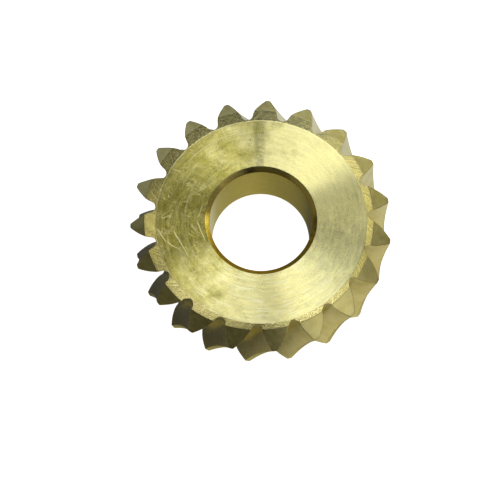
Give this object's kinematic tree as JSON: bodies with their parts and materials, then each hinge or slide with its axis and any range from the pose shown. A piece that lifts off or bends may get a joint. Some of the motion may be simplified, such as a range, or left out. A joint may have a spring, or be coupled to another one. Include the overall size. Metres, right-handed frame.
{
  "type": "worm wheel",
  "caption": "Solid brass worm wheel with a throated rim of right-hand helical teeth, flat end faces and a plain chamfered bore.",
  "frame": {"origin": "on the bore axis at mid-width", "axes": "+Z along the bore axis, +X through the middle of one tooth at mid-width"},
  "size_m": [0.0405, 0.0406, 0.0126],
  "materials": {
    "brass": "turned and hobbed, bare, lightly scratched"
  },
  "bodies": {
    "root": {"worm_wheel": "brass"}
  },
  "joints": []
}
